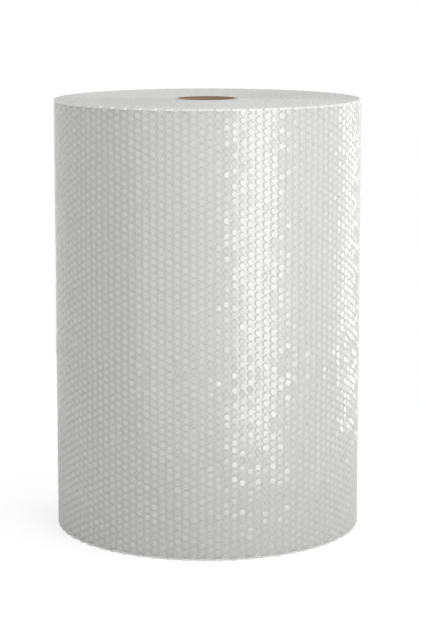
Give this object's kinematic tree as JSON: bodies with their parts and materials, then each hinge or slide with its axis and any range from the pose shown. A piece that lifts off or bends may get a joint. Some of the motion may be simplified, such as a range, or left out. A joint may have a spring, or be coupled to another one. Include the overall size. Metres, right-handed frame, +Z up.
{
  "type": "bubble wrap roll",
  "caption": "Upright roll of small-bubble packing film, bubbles outward, wound on a hollow cardboard tube.",
  "frame": {"origin": "the middle of the tube's bore at the roll's lower end", "axes": "+Z up along the roll's axis; the film's free end is behind, 20 degrees past +Y towards -X"},
  "size_m": [0.4266, 0.4286, 0.6],
  "materials": {
    "bubble_film": "glossy low-density polyethylene bubble film, whitish grey where many turns lie on each other",
    "core_board": "spiral-wound brown paperboard, matt, paler at the cut edge"
  },
  "bodies": {
    "root": {"bubble_film": "bubble_film", "core_tube": "core_board"}
  },
  "joints": []
}
